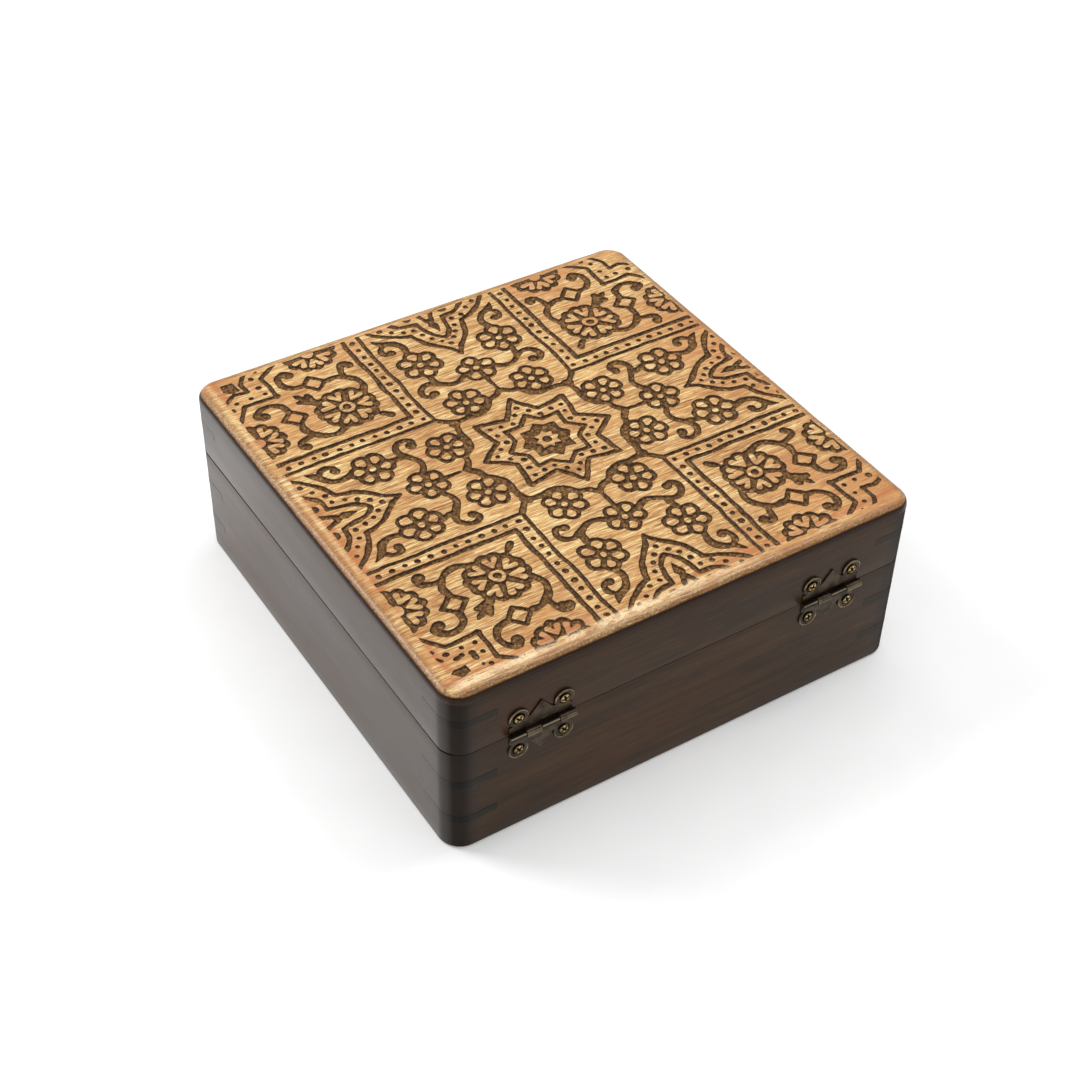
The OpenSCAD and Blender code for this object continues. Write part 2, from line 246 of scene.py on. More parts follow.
LEFT_RIGHT = (np.diag((1.0, 1.0)), np.diag((-1.0, 1.0)))
DIAGONAL = (np.eye(2), np.array([[0.0, 1.0], [1.0, 0.0]]))


def star(tip, valley, jitter):
    """An eight-pointed star's outline, each point a little off its place."""
    return [(tip if k % 2 == 0 else valley) * unit(k * math.pi / 8) + rng.uniform(-jitter, jitter, 2)
            for k in range(16)]


def carve_star(r):
    """The middle: two star lines with beads between them round a sunk star."""
    outer, inner = star(28.0, 19.2, 0.35), star(16.7, 12.4, 0.35)
    for ring, width in ((outer, 2.2), (inner, 1.95)):
        r.line(ring + ring[:1], width)
    for k in range(8):
        for radius, turn in ((21.9, 0), (18.7, 9.3), (18.7, -9.3), (15.7, 22.5)):
            r.dots([radius * unit(math.radians(45 * k + turn))], 1.12)
    r.polygon(star(10.9, 8.3, 0.4))
    r.polygon(star(5.2, 3.3, 0.35), raised=True)
    r.disc((0, 0), 1.8)


def arm_scrolls(r):
    """One half of an arm: garland, scrolls and half of the pointed arch."""
    r.curve([(26, 25.5), (20, 26.6), (14.5, 26.2), (10.2, 28), (7, 31.8), (3.6, 32.9), (0, 35.8)], 2.6)
    r.disc((26, 25.4), 2.3)
    # scroll beside the middle flower
    r.curve([(7.5, 50), (10.5, 48.4), (14, 48.4), (18.5, 51.2), (22.5, 53), (26, 51.2), (27, 47.6),
             (25, 44.9), (22.4, 46.2)], 2.5, (1, 0.8))
    r.disc((22.8, 46.3), 2.1)
    r.curve([(18.5, 52), (19.3, 57)], 2.6)
    # leaf and curl beyond the outer flower
    r.curve([(19.4, 73.5), (18.4, 78.5), (20.4, 83), (25, 85.6), (27.6, 89)], 2.9, (1, 0.25))
    r.curve([(25, 84.5), (27.2, 82), (27, 78.6), (24.6, 77.4)], 2.2, (1, 0.8))
    r.disc((24.4, 78.3), 1.9)
    # pointed arch
    r.curve([(28, 96.5), (24, 91.6), (20, 88.2), (16, 85.8), (11.8, 84.3)], 2.0)
    r.curve([(11.8, 84.3), (10.8, 80.4), (8.8, 76), (5, 71.4), (2, 68.2), (0, 63.8)], 2.1, (1, 0.55))
    r.curve([(17.5, 96), (14.5, 92.8), (11, 90.8), (6, 90.3)], 1.9)
    r.curve([(6, 90.3), (5.2, 86), (4, 81), (1.6, 77.6), (0, 76.6)], 1.9)
    r.dots([(3, 75), (5.7, 78.3), (7.5, 82.3), (8.6, 87), (13.2, 87.8), (17.3, 90.8), (21.5, 93.4)], 1.08)
    r.curve([(1, 89.5), (3.4, 95.8)], 1.9)
    r.disc((8.2, 95), 2.1)


def arm_flowers(r):
    r.flower((15, 35.4), 8.9, 6, rng.uniform(0.3, 0.6))
    r.flower((18.2, 65.5), 9.4, 6, rng.uniform(0.3, 0.6))


def carve_arm(r, stem):
    """The band between two corner panels, from the star out to the board's edge."""
    r.mirrored(LEFT_RIGHT, arm_scrolls)
    r.dots([(0, 71.8)], 1.05)
    r.polygon([(0, 80.8), (2.1, 86.4), (0, 91.5), (-2.1, 86.4)])
    r.line([(0, stem), (0, 46)], 2.4, (0.6, 1))
    r.flower((0, 52.3), 8.5, 5, math.pi / 2)
    r.mirrored(LEFT_RIGHT, arm_flowers)


def corner_frame(r):
    """Two ruled lines with a row of beads between them, and the sprout inside."""
    for p, width in ((31.4, 1.75), (38.0, 2.15)):
        r.line([(96, p), (p, p), (p, 96)], width)
    bead, pitch = 34.6, 5.2
    beads = [q for k in range(1, 13) for q in ((bead, bead + pitch * k), (bead + pitch * k, bead))]
    r.dots([(bead, bead), *beads], 1.15)
    r.line([(31.4, 31.4), (26.2, 25.6)], 2.6)
    r.curve([(46.5, 46.5), (43.2, 43.2)], 2.6, (0.6, 1.1))
    # sprout towards the outer corner
    r.curve([(62.5, 62.5), (66, 66.2)], 3.2, (1, 0.9))
    r.curve([(66, 66.5), (68.5, 71.8)], 2.5, (1.1, 0.3))
    r.curve([(66, 66.5), (73, 71)], 2.3, (1.1, 0.3))
    r.curve([(66, 65.5), (71.5, 66.4)], 2.5, (1.1, 0.3))


def corner_half(r, worn):
    """One half of a corner panel: tendrils, a half flower and half of the stepped corner."""
    r.curve([(61, 46), (66, 43.8), (70.5, 44.6), (74, 47.6)], 2.7)
    r.curve([(74, 47.6), (78, 47), (81.6, 45.6), (82, 43), (79.8, 41.8)], 2.4, (1, 0.8))
    r.disc((80.2, 42.4), 2.2)
    r.curve([(74, 47.6), (75.9, 51.6), (75.4, 56)], 2.7, (1, 0.8))
    r.line([(76, 55.5), (71.6, 60.2), (76.5, 64.6), (81.2, 60.4), (76, 55.5)], 2.0)
    r.curve([(76.8, 64.4), (77.6, 68.8), (81.4, 71.6), (86, 71.2), (88.6, 68), (86.6, 65.6)], 2.6, (1, 0.8))
    r.disc((86.2, 66.8), 2.3)
    # half flower cut off by the board's edge
    c = np.array((95.0, 53.4))
    r.disc(c, 9.8)
    for k in range(7):
        r.disc(c + 8.9 * unit(math.pi * (0.5 + k / 6)), 2.9)
    for k in range(3):
        r.heart(c, math.pi * (0.72 + 0.28 * k), 4.3, 8.0, 2.0, 1.3)
    r.disc(c, 2.6, raised=True)
    # stepped corner
    r.line([(75.6, 76.2), (83, 76.1), (89.4, 76.6), (92.2, 73), (95.5, 68.5)], 2.0, (1, 0.8))
    r.dots([(85, 79.7), (91.2, 79.9), (94.6, 76.6)], 1.1)
    if not worn:
        r.line([(84.4, 84.6), (90, 85), (92.5, 83.6), (96, 80.6)], 1.9)


def carve_corner(r, worn, patch):
    """One corner panel; a worn one keeps only dashes, and a patch fills the tip of another."""
    corner_frame(r)
    r.mirrored(DIAGONAL, lambda half: corner_half(half, worn))
    if patch:
        r.polygon([(86.8, 86.6), (92.6, 87.4), (93.2, 92.6), (88.4, 93.4), (86.2, 90.4)])
    if worn:
        # only dashes are left of the inner step, and a smudge in the corner
        for a, b, width in (((83.3, 83.8), (83.3, 86.8), 2.2), ((87, 82.8), (89.9, 83.7), 1.5),
                            ((82.7, 90), (83.1, 90.3), 1.1), ((94, 81.8), (95, 80), 1.2)):
            r.curve([a, b], width, (1.1, 0.7))
        r.polygon([(87.6, 90.8), (91.5, 91.2), (94.4, 88.8), (93, 87.4), (88, 87.2)])
        r.disc((44.2, 79.2), 1.7)
    r.dots([(79.8, 79.6)], 1.0)
    r.rosette((56.2, 55.8), 12.4, 7, rng.uniform(0, 1))


def carving():
    """The whole carved field, cut off by a slightly ragged line near the board's edge."""
    r = Relief(FIELD_LOW, FIELD_HIGH, GRID, 1.0, (PATTERN_X, 0.0))
    carve_star(r)
    for k in range(4):
        r.turn = quarter_turn(k)
        carve_corner(r, worn=k == 0, patch=k == 3)
        carve_arm(r, 38.5 if k == 3 else 34.5)
    x, y = r.plain
    clip = np.maximum.reduce([FIELD_LOW[0] - x, x - FIELD_HIGH[0], FIELD_LOW[1] - y, y - FIELD_HIGH[1]])
    clip = clip + 0.35 * fbm(x, y, 2.3, 77)
    r.s = np.maximum(r.s, clip)
    return r


CELL_LINKS = {  # marching squares: which sides of a cell a line joins, by corner pattern
    1: ((3, 0),), 2: ((0, 1),), 3: ((3, 1),), 4: ((1, 2),), 5: ((3, 0), (1, 2)), 6: ((0, 2),),
    7: ((3, 2),), 8: ((2, 3),), 9: ((2, 0),), 10: ((0, 1), (2, 3)), 11: ((2, 1),), 12: ((1, 3),),
    13: ((1, 0),), 14: ((0, 3),),
}


def crossing_links(inside):
    """Which crossed grid sides are joined; a side is 2 * point, plus 1 if it runs along y."""
    nx = inside.shape[1]
    code = (inside[:-1, :-1] * 1 + inside[:-1, 1:] * 2 + inside[1:, 1:] * 4 + inside[1:, :-1] * 8)
    links = {}
    for case, joins in CELL_LINKS.items():
        i, j = np.nonzero(code == case)
        side = (2 * (i * nx + j), 2 * (i * nx + j + 1) + 1, 2 * ((i + 1) * nx + j), 2 * (i * nx + j) + 1)
        for a, b in joins:
            for u, v in zip(side[a].tolist(), side[b].tolist()):
                links.setdefault(u, []).append(v)
                links.setdefault(v, []).append(u)
    return links


def contour_loops(r, level, spacing, shortest):
    """Closed loops of points where the signed distance equals level."""
    s = r.s - level
    links = crossing_links(s < 0)

    def point(e):
        i, j = divmod(e // 2, s.shape[1])
        a = s[i, j]
        if e % 2:
            return r.xs[j], r.ys[i] + r.step * a / (a - s[i + 1, j])
        return r.xs[j] + r.step * a / (a - s[i, j + 1]), r.ys[i]

    loops, seen = [], set()
    for first in links:
        if first in seen:
            continue
        chain, e, last = [], first, None
        while e not in seen:
            seen.add(e)
            chain.append(point(e))
            step = [v for v in links[e] if v != last and v not in seen]
            last = e
            if not step:
                break
            e = step[0]
        p = np.array(chain + chain[:1])
        run = np.concatenate([[0], np.cumsum(np.hypot(*np.diff(p, axis=0).T))])
        if run[-1] < shortest:
            continue
        n = max(6, int(round(run[-1] / spacing)))
        at = np.linspace(0, run[-1], n, endpoint=False)
        loops.append(np.column_stack([np.interp(at, run, p[:, 0]), np.interp(at, run, p[:, 1])]))
    return loops


def sample(r, p):
    """The signed distance at any points, from the grid."""
    u = np.clip((p[:, 0] - r.xs[0]) / r.step, 0, len(r.xs) - 1.001)
    v = np.clip((p[:, 1] - r.ys[0]) / r.step, 0, len(r.ys) - 1.001)
    j, i = u.astype(int), v.astype(int)
    fu, fv = u - j, v - i
    return ((r.s[i, j] * (1 - fu) + r.s[i, j + 1] * fu) * (1 - fv)
            + (r.s[i + 1, j] * (1 - fu) + r.s[i + 1, j + 1] * fu) * fv)


# -------- top board
def rounded_square(half, radius, spacing):
    """Points round a square with rounded corners, anticlockwise."""
    out = []
    flat = half - radius
    for k in range(4):
        turn = quarter_turn(k)
        for t in np.linspace(-flat, flat, int(2 * flat / spacing), endpoint=False):
            out.append(turn @ (half, t))
        for a in np.linspace(0, math.pi / 2, 14, endpoint=False):
            out.append(turn @ (flat + radius * math.cos(a), flat + radius * math.sin(a)))
    return np.array(out)


def shape_normals(points):
    """Outward unit normals of a closed anticlockwise outline."""
    t = np.roll(points, -1, 0) - np.roll(points, 1, 0)
    n = np.column_stack([t[:, 1], -t[:, 0]])
    return n / np.linalg.norm(n, axis=1)[:, None]


def new_piece(name, verts, faces, body, material, smooth_angle=35):
    """A mesh object from millimetre points, riding on a CAD body."""
    mesh = bpy.data.meshes.new(name)
    mesh.from_pydata([tuple(v) for v in np.asarray(verts, float) * MM], [], faces)
    mesh.validate()
    piece = bpy.data.objects.new(name, mesh)
    bpy.context.scene.collection.objects.link(piece)
    mesh.materials.append(material)
    mesh.polygons.foreach_set("use_smooth", np.ones(len(mesh.polygons), bool))
    mesh.set_sharp_from_angle(angle=math.radians(smooth_angle))
    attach(piece, body)
    return piece


def add_attribute(piece, name, values):
    layer = piece.data.attributes.new(name, "FLOAT", "POINT")
    layer.data.foreach_set("value", np.array(values, np.float32))


def triangulate(loops, scattered, tolerance):
    """Points, triangles and where each loop point went, for loops and loose points."""
    points, edges = [], []
    for loop in loops:
        n = len(points)
        points.extend(tuple(q) for q in loop)
        edges.extend((n + k, n + (k + 1) % len(loop)) for k in range(len(loop)))
    points.extend(tuple(q) for q in scattered)
    out = geometry.delaunay_2d_cdt([Vector(q) for q in points], edges, [], 0, tolerance)
    lookup = {old: new for new, olds in enumerate(out[3]) for old in olds}
    return np.array([(v.x, v.y) for v in out[0]]), [tuple(f) for f in out[2]], lookup


def flat_top(r, shape):
    """The flat top cut into triangles whose edges follow every groove."""
    loops = [shape]
    for level, spacing in CONTOURS:
        loops += contour_loops(r, level, spacing, 2.5)
    flat = HALF - EDGE_R
    scattered = []
    for spacing, low, high in SCATTER:
        g = np.arange(-flat + 2, flat - 2, spacing)
        gx, gy = np.meshgrid(g, g)
        p = np.column_stack([gx.ravel(), gy.ravel()]) + rng.uniform(-0.3, 0.3, (gx.size, 2)) * spacing
        s = sample(r, p)
        scattered.extend(p[(s > low) & (s < high)])
    return triangulate(loops, scattered, 1e-5)


def carved_height(r, p):
    """Height of the carved surface, and the signed distance into its grooves."""
    x, y = p.T
    s = sample(r, p)
    s[(x < r.xs[0]) | (x > r.xs[-1]) | (y < r.ys[0]) | (y > r.ys[-1])] = FAR
    to_rim = np.minimum.reduce([x - FIELD_LOW[0], FIELD_HIGH[0] - x, y - FIELD_LOW[1], FIELD_HIGH[1] - y])
    fade = np.interp(to_rim, [0, 5], [0.45, 1])
    uneven = 1 + 0.15 * fbm(x, y, 5.0, 5)
    return TOP_Z - fade * uneven * np.interp(-s, *DEPTH_AT), np.clip(-s, -1, 1)


def add_round_over(shape, ring, verts, faces):
    """Rows of points from the flat top's rim round the edge, down the side and across below."""
    steps = 9
    normal = shape_normals(shape)
    wear = 0.10 * np.array([noise.noise(Vector((p[0] * 0.11, p[1] * 0.11, 3.0))) for p in shape])
    n = len(ring)
    for k in range(1, steps + 2):
        a = math.pi / 2 * min(k, steps) / steps
        out_by = EDGE_R * math.sin(a)
        low = TOP_Z - EDGE_R * (1 - math.cos(a)) if k <= steps else BOARD_Z
        sink = np.maximum(0, wear * math.sin(2 * a) if k <= steps else 0 * wear)
        start = len(verts)
        verts += [(*(p + u * (out_by - w)), low - w * 0.7) for p, u, w in zip(shape, normal, sink)]
        faces += [(ring[j], start + j, start + (j + 1) % n, ring[(j + 1) % n]) for j in range(n)]
        ring = range(start, start + n)
    faces.append(tuple(reversed(ring)))


def build_top_board(material):
    r = carving()
    shape = rounded_square(HALF - EDGE_R, CORNER_R - EDGE_R, 2.0)
    points, faces, lookup = flat_top(r, shape)
    z, carve = carved_height(r, points)
    ring = [lookup[k] for k in range(len(shape))]
    z[ring] = TOP_Z
    verts = [(*p, h) for p, h in zip(points, z)]
    add_round_over(shape, ring, verts, faces)
    piece = new_piece("carved_top", verts, faces, "lid", material)
    add_attribute(piece, "carve", [*carve, *[-1.0] * (len(verts) - len(carve))])
    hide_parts("lid_top_board")


# -------- materials
SIDE_COAT = 0.43  # polish of the two side walls, which the front and back don't have
GRAIN_TURN = 0.035  # the top board's grain runs this far off square, in radians


def srgb(r, g, b):
    def lin(c):
        c /= 255
        return c / 12.92 if c <= 0.04045 else ((c + 0.055) / 1.055) ** 2.4

    return (lin(r), lin(g), lin(b), 1.0)


def grey(v):
    return (v, v, v, 1.0)


class Shader:
    """A small helper that builds a node tree a line at a time."""

    def __init__(self, name, **sockets):
        self.material = bpy.data.materials.new(name)
        self.material.use_nodes = True
        self.tree = self.material.node_tree
        self.bsdf = self.tree.nodes["Principled BSDF"]
        for k, v in sockets.items():
            self.bsdf.inputs[k.replace("_", " ")].default_value = v
        self.coord = self.tree.nodes.new("ShaderNodeTexCoord").outputs["Object"]

    def node(self, kind, **settings):
        n = self.tree.nodes.new(kind)
        for k, v in settings.items():
            setattr(n, k, v)
        return n

    def feed(self, socket, value):
        if isinstance(value, bpy.types.NodeSocket):
            self.tree.links.new(value, socket)
        elif value is not None:
            socket.default_value = value

    def noise(self, scale, detail=4.0, roughness=0.55, stretch=(1, 1, 1), distortion=0.0, turn=0.0):
        m = self.node("ShaderNodeMapping")
        m.inputs["Scale"].default_value = [scale * k for k in stretch]
        m.inputs["Rotation"].default_value = (0, 0, turn)
        self.feed(m.inputs["Vector"], self.coord)
        n = self.node("ShaderNodeTexNoise")
        n.inputs["Scale"].default_value = 1.0
        n.inputs["Detail"].default_value = detail
        n.inputs["Roughness"].default_value = roughness
        n.inputs["Distortion"].default_value = distortion
        self.feed(n.inputs["Vector"], m.outputs[0])
        return n.outputs["Fac"]

    def ramp(self, value, stops):
        """Colours or greys at given positions, eased between them."""
        n = self.node("ShaderNodeValToRGB")
        n.color_ramp.interpolation = "EASE"
        els = n.color_ramp.elements
        while len(els) < len(stops):
            els.new(0.5)
        for e, (at, c) in zip(els, stops):
            e.position = at
            e.color = c if isinstance(c, tuple) else grey(c)
        self.feed(n.inputs[0], value)
        return n.outputs[0]

    def mix(self, factor, a, b, blend="MIX"):
        n = self.node("ShaderNodeMix", data_type="RGBA", blend_type=blend)
        self.feed(n.inputs[0], factor)
        self.feed(n.inputs[6], a)
        self.feed(n.inputs[7], b)
        return n.outputs[2]

    def math(self, operation, a, b=None):
        n = self.node("ShaderNodeMath", operation=operation)
        self.feed(n.inputs[0], a)
        self.feed(n.inputs[1], b)
        return n.outputs[0]

    def times(self, a, b):
        return self.math("MULTIPLY", a, b)

    def plus(self, a, b):
        return self.math("ADD", a, b)

    def most(self, a, b):
        return self.math("MAXIMUM", a, b)

    def fit(self, value, low, high, to_low=0.0, to_high=1.0):
        """Takes low..high to to_low..to_high with soft ends; low may be the larger."""
        n = self.node("ShaderNodeMapRange", interpolation_type="SMOOTHSTEP")
        names = ("Value", "From Min", "From Max", "To Min", "To Max")
        for k, v in zip(names, (value, low, high, to_low, to_high)):
            self.feed(n.inputs[k], v)
        return n.outputs[0]

    def axes(self):
        n = self.node("ShaderNodeSeparateXYZ")
        self.feed(n.inputs[0], self.coord)
        return n.outputs

    def attribute(self, name):
        return self.node("ShaderNodeAttribute", attribute_name=name).outputs["Fac"]

    def bump(self, height, distance, strength):
        n = self.node("ShaderNodeBump")
        n.inputs["Distance"].default_value = distance
        n.inputs["Strength"].default_value = strength
        self.feed(n.inputs["Height"], height)
        self.feed(self.bsdf.inputs["Normal"], n.outputs[0])

    def base(self, colour):
        self.feed(self.bsdf.inputs["Base Color"], colour)

    def rough(self, value):
        self.feed(self.bsdf.inputs["Roughness"], value)

    def coat(self, value):
        self.feed(self.bsdf.inputs["Coat Weight"], value)

    def side_polish(self, wide):
        """Coat weight of the two side walls, which fades out round the upright corners."""
        return self.fit(wide, (HALF - 2.8) * MM, (HALF - 0.8) * MM, 0, SIDE_COAT)


def top_fields(m):
    """Grain, stains and distances that the top board's colours are mixed from."""
    x, y, z = m.axes()
    band = m.noise(1, 4, 0.6, (18, 420, 420), 0.5, GRAIN_TURN)
    streak = m.noise(1, 5, 0.75, (110, 1500, 1500), 0.6, GRAIN_TURN)
    fibre = m.noise(1, 3, 0.65, (200, 3200, 3200), 0.3, GRAIN_TURN)
    wide = m.math("ABSOLUTE", x)
    return SimpleNamespace(
        x=x, y=y, z=z, wide=wide, outside=m.most(wide, m.math("ABSOLUTE", y)),
        band=band, streak=streak, fibre=fibre, line=m.plus(m.times(streak, 0.66), m.times(fibre, 0.34)),
        stain=m.noise(30, 4, 0.6, (0.7, 1, 1)), soot=m.noise(900, 4, 0.7), cut=m.attribute("carve"),
    )


def uncut_colour(m, f):
    """Pale streaked wood with broad bands, warm stains towards the edges and dark pores."""
    gold = m.ramp(f.line, [(0.38, srgb(122, 76, 36)), (0.455, srgb(190, 138, 78)),
                           (0.525, srgb(234, 188, 118)), (0.59, srgb(255, 244, 186))])
    gold = m.mix(m.fit(f.band, 0.36, 0.6, 0.4, 0), gold, srgb(208, 158, 96), "MULTIPLY")
    near_edge = m.fit(f.outside, 0.070, 0.094, 0, 0.09)
    left_half = m.fit(f.x, -0.1, 0.02, 0.06, 0)
    blush = m.fit(m.plus(m.plus(f.stain, near_edge), left_half), 0.52, 0.72, 0, 0.62)
    gold = m.mix(blush, gold, srgb(202, 132, 70))
    gold = m.mix(m.fit(m.noise(24, 3, 0.5), 0.3, 0.6, 0.22, 0), gold, srgb(190, 142, 84), "MULTIPLY")
    gold = m.mix(m.fit(f.fibre, 0.63, 0.76, 0, 0.55), gold, srgb(98, 62, 32))
    # reddish lines just inside the two worn edges
    red = m.times(m.fit(f.y, 0.0885, 0.0908), m.fit(f.y, 0.0935, 0.0918))
    red = m.most(red, m.times(m.fit(f.x, 0.0902, 0.092), m.fit(f.x, 0.0938, 0.0928)))
    return m.mix(m.times(red, m.fit(f.stain, 0.35, 0.55, 0.1, 0.6)), gold, srgb(190, 106, 54))


def groove_colour(m, f):
    """Rough, sooty floors, darkest against their sides; that darkening is partly burn marks and partly
    painted shade.
    """
    floor = m.ramp(f.soot, [(0.34, srgb(50, 30, 14)), (0.5, srgb(108, 74, 38)), (0.66, srgb(176, 132, 74))])
    # painted shade, with some burn, against the grooves' sides
    return m.mix(m.fit(f.cut, 0.1, 0.62, 0.85, 0), floor, srgb(40, 24, 12))


def scratches_and_painted_highlight(m, f):
    """Worn, scratched pale lines where the sanded edge meets the carving on the two worn sides; the band
    along the back edge also stands in as a painted highlight for the sparkle along that edge.
    """
    scratch = m.noise(1, 4, 0.7, (420, 900, 900), 1.0)
    patch = m.fit(m.noise(45, 3, 0.6), 0.36, 0.56)
    back_scratch_and_highlight = m.times(m.fit(f.y, 0.0915, 0.0936), m.fit(f.y, 0.0968, 0.0956))
    back_scratch_and_highlight = m.times(back_scratch_and_highlight, m.fit(f.x, -0.06, 0.02, 0.25, 1))
    side_band = m.times(m.fit(f.x, 0.0936, 0.0945), m.fit(f.x, 0.0962, 0.0954))
    worn = m.most(m.times(back_scratch_and_highlight, 0.85), m.times(side_band, 0.4))
    return m.times(worn, m.times(patch, m.fit(scratch, 0.4, 0.56, 0.25, 1)))


def carved_wood():
    m = Shader("carved_wood", Coat_Roughness=0.33, Specular_IOR_Level=0.15)
    f = top_fields(m)
    colour = m.mix(m.fit(f.cut, -0.16, 0.06), uncut_colour(m, f), groove_colour(m, f))
    # pale scratches, with a painted highlight along the back edge
    colour = m.mix(scratches_and_painted_highlight(m, f), colour, srgb(255, 230, 188))
    # the round-over turns brown, then nearly black, then meets the walls' stain
    speckle = m.noise(1300, 3, 0.6)
    brown = m.times(m.fit(f.outside, 0.095, 0.0984), m.fit(speckle, 0.4, 0.6, 1.0, 0.5))
    colour = m.mix(m.times(brown, 0.9), colour, srgb(122, 80, 34))
    over = m.fit(f.outside, (HALF - EDGE_R) * MM, (HALF - EDGE_R + 0.5) * MM)
    rim = m.times(m.fit(f.z, (TOP_Z - 0.9) * MM, (TOP_Z - 1.6) * MM), over)
    colour = m.mix(rim, colour, m.ramp(f.streak, [(0.35, srgb(34, 18, 8)), (0.65, srgb(54, 30, 14))]))
    side = m.times(m.fit(f.z, (TOP_Z - 2.0) * MM, (TOP_Z - 3.0) * MM), over)
    colour = m.mix(side, colour, m.ramp(f.band, [(0.35, srgb(38, 24, 13)), (0.65, srgb(54, 36, 19))]))
    # bare brown wood underneath, seen when the lid is open
    below = m.fit(f.z, (BOARD_Z + 0.02) * MM, (BOARD_Z + 0.01) * MM)
    colour = m.mix(below, colour, m.ramp(f.streak, [(0.3, srgb(84, 60, 40)), (0.7, srgb(120, 88, 60))]))
    m.base(colour)
    lacquer = m.times(m.fit(rim, 0, 1, 0.75, 0), m.fit(f.cut, -0.12, 0.2, 1, 0.3))
    m.coat(m.most(lacquer, m.times(side, m.side_polish(f.wide))))
    shine = m.mix(m.fit(f.cut, -0.12, 0.2), m.ramp(f.line, [(0.35, 0.52), (0.65, 0.28)]), grey(0.8))
    m.rough(m.mix(side, shine, grey(0.32)))
    grain = m.plus(f.line, m.times(f.fibre, 0.4))
    rough_floor = m.times(f.soot, m.fit(f.cut, 0.0, 0.3, 0, 2.5))
    m.bump(m.times(m.plus(grain, rough_floor), m.fit(side, 0, 0.7, 1, 0.1)), 0.00028, 0.9)
    return m.material


def dark_wood(name, along_x, shade=(1.0, 1.0, 1.0)):
    """Stained wood with its grain along one axis; shade multiplies its colours."""
    m = Shader(name, Specular_IOR_Level=0.15, Coat_Roughness=0.3, Coat_IOR=1.55)
    x, y, z = m.axes()
    wide, deep = m.math("ABSOLUTE", x), m.math("ABSOLUTE", y)
    streak = m.noise(1, 4, 0.6, (12, 200, 200) if along_x else (200, 12, 200), 0.3)
    fine = m.noise(1, 3, 0.6, (60, 1500, 1500) if along_x else (1500, 60, 1500))
    cloud = m.noise(16, 3, 0.5, (1, 1, 2.2))
    ruddy = m.noise(11, 3, 0.55, (1, 1, 2.4))

    def tint(r, g, b):
        return srgb(r * shade[0], g * shade[1], b * shade[2])

    colour = m.ramp(streak, [(0.34, tint(50, 34, 18)), (0.5, tint(62, 42, 21)), (0.68, tint(71, 49, 26))])
    colour = m.mix(m.fit(cloud, 0.36, 0.6, 0.6, 0), colour, tint(48, 34, 21))
    colour = m.mix(m.fit(ruddy, 0.54, 0.7, 0, 0.35), colour, tint(80, 45, 22))
    colour = m.mix(m.fit(fine, 0.56, 0.68, 0, 0.55), colour, tint(32, 21, 12))
    colour = m.mix(m.fit(fine, 0.44, 0.34, 0, 0.3), colour, tint(92, 64, 36))
    # dull round the upright corners, and darker there: painted shade standing for the dark reflection the
    # rounded corners show
    corner = m.math("MINIMUM", wide, deep)
    colour = m.mix(m.fit(corner, 0.086, 0.0945, 0, 0.85), colour, tint(28, 22, 16))
    # dark wax left under the board's edge
    colour = m.mix(m.fit(z, (BOARD_Z - 2.5) * MM, (BOARD_Z + 0.5) * MM, 0, 0.6), colour, tint(44, 22, 10))
    m.base(colour)
    shine = m.ramp(cloud, [(0.3, 0.27), (0.7, 0.36)])
    m.rough(m.mix(m.fit(corner, 0.09, 0.0955), shine, grey(0.72)))
    m.coat(m.side_polish(wide))
    m.bump(m.plus(m.times(streak, 0.5), fine), 0.00005, 0.5)
    return m.material


def metal(name, dark, mid, bright, roughness):
    """Aged metal, bright where the wear attribute is high and black where it is below zero; that attribute
    carries worn metal together with painted highlights and painted shade.
    """
    m = Shader(name, Metallic=0.85)
    cloud = m.noise(260, 4, 0.6)
    wear = m.attribute("wear")
    wear_and_painted_light = m.times(m.fit(wear, 0.3, 0.85), m.fit(cloud, 0.32, 0.55, 0.35, 1.0))
    colour = m.mix(wear_and_painted_light, m.ramp(cloud, [(0.36, dark), (0.6, mid)]), bright)
    # black below zero: painted shade
    m.base(m.mix(m.fit(wear, -0.1, -0.5), colour, (0.004, 0.003, 0.002, 1)))
    m.rough(m.ramp(wear_and_painted_light, [(0.2, roughness + 0.12), (0.8, roughness - 0.08)]))
    m.bump(m.noise(1800, 3, 0.6), 0.00005, 0.5)
    return m.material


mat_top = carved_wood()
mat_wood_x = dark_wood("dark_wood_along_x", True)
mat_wood_y = dark_wood("dark_wood_along_y", False)
mat_key = dark_wood("key_wood", True, (0.62, 0.72, 0.76))
mat_floor_wood = dark_wood("bottom_board_wood", True, (1.1, 1.05, 1.0))
mat_bronze = metal("antique_bronze", srgb(52, 43, 34), srgb(80, 67, 53), srgb(166, 148, 118), 0.34)
mat_screw = metal("screw_brass", srgb(104, 82, 46), srgb(164, 134, 80), srgb(206, 178, 120), 0.28)


